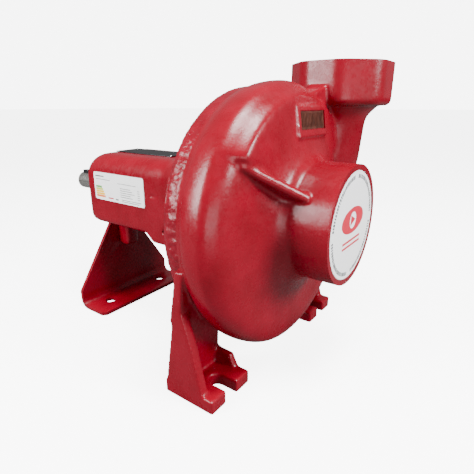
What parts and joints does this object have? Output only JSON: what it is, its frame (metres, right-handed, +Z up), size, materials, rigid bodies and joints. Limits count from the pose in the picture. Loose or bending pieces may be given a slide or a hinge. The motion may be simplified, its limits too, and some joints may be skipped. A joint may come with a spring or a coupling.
{
  "type": "end-suction centrifugal pump",
  "caption": "End-suction volute pump with a top discharge, cast feet, a bearing frame on a bent rear foot, and a bare keyed shaft end for a coupling.",
  "frame": {"origin": "on the floor, under the shaft, midway between the two holes of the rear foot", "axes": "+Z up, +Y along the shaft from the suction port to the drive end, +X to the discharge side"},
  "size_m": [0.2878, 0.422, 0.3107],
  "materials": {
    "red_paint": "glossy crimson enamel over as-cast iron",
    "dark_paint": "primed cast iron",
    "steel": "ground and turned steel",
    "black_steel": "blackened steel",
    "bronze": "machined bronze",
    "rubber": "moulded nitrile rubber",
    "carbon": "lapped carbon",
    "ceramic": "lapped ceramic",
    "gasket_fibre": "pressed fibre sheet",
    "white_plastic": "smooth moulded or printed white plastic"
  },
  "bodies": {
    "casing": {"bearing_frame": "red_paint", "casing_cover": "dark_paint", "casing_gasket": "gasket_fibre", "cover_screw_1": "black_steel", "cover_screw_2": "black_steel", "cover_screw_3": "black_steel", "cover_screw_4": "black_steel", "drain_plug": "black_steel", "flange_bolt_1": "red_paint", "flange_bolt_2": "red_paint", "flange_bolt_3": "red_paint", "flange_bolt_4": "red_paint", "flange_bolt_5": "red_paint", "flange_bolt_6": "red_paint", "flange_bolt_7": "red_paint", "flange_bolt_8": "red_paint", "foot_bolt_1": "red_paint", "foot_bolt_2": "red_paint", "front_bearing_outer_ring": "steel", "front_lip_seal": "rubber", "nameplate": "black_steel", "rear_bearing_cover": "red_paint", "rear_bearing_outer_ring": "steel", "rear_foot": "red_paint", "rear_lip_seal": "rubber", "seal_seat": "ceramic", "side_label": "white_plastic", "volute_casing": "red_paint", "wear_ring": "bronze"},
    "rotor": {"shaft": "steel", "drive_key": "black_steel", "impeller_key": "steel", "impeller": "bronze", "impeller_washer": "steel", "impeller_nut": "steel", "seal_head": "carbon", "seal_spring": "steel", "slinger": "rubber", "bearing_circlip": "black_steel", "front_bearing_inner_ring": "steel", "rear_bearing_inner_ring": "steel"},
    "front_cage": {"front_bearing_balls": "steel"},
    "rear_cage": {"rear_bearing_balls": "steel"},
    "cap": {"transport_cap": "white_plastic"}
  },
  "joints": [
    {"name": "shaft_spin", "type": "hinge", "parent": "casing", "child": "rotor", "pos_m": [0, 0, 0.16], "axis": [0, 1, 0], "continuous": true},
    {"name": "front_cage_orbit", "type": "hinge", "parent": "casing", "child": "front_cage", "pos_m": [0, 0, 0.16], "axis": [0, 1, 0], "continuous": true},
    {"name": "rear_cage_orbit", "type": "hinge", "parent": "casing", "child": "rear_cage", "pos_m": [0, 0, 0.16], "axis": [0, 1, 0], "continuous": true},
    {"name": "port_cap_pull", "type": "slide", "parent": "casing", "child": "cap", "axis": [0, -1, 0], "range_m": [0, 0.12]}
  ],
  "couplings": [
    {"joint": "front_cage_orbit", "follows": "shaft_spin", "ratio": 0.4022},
    {"joint": "rear_cage_orbit", "follows": "shaft_spin", "ratio": 0.4022}
  ]
}
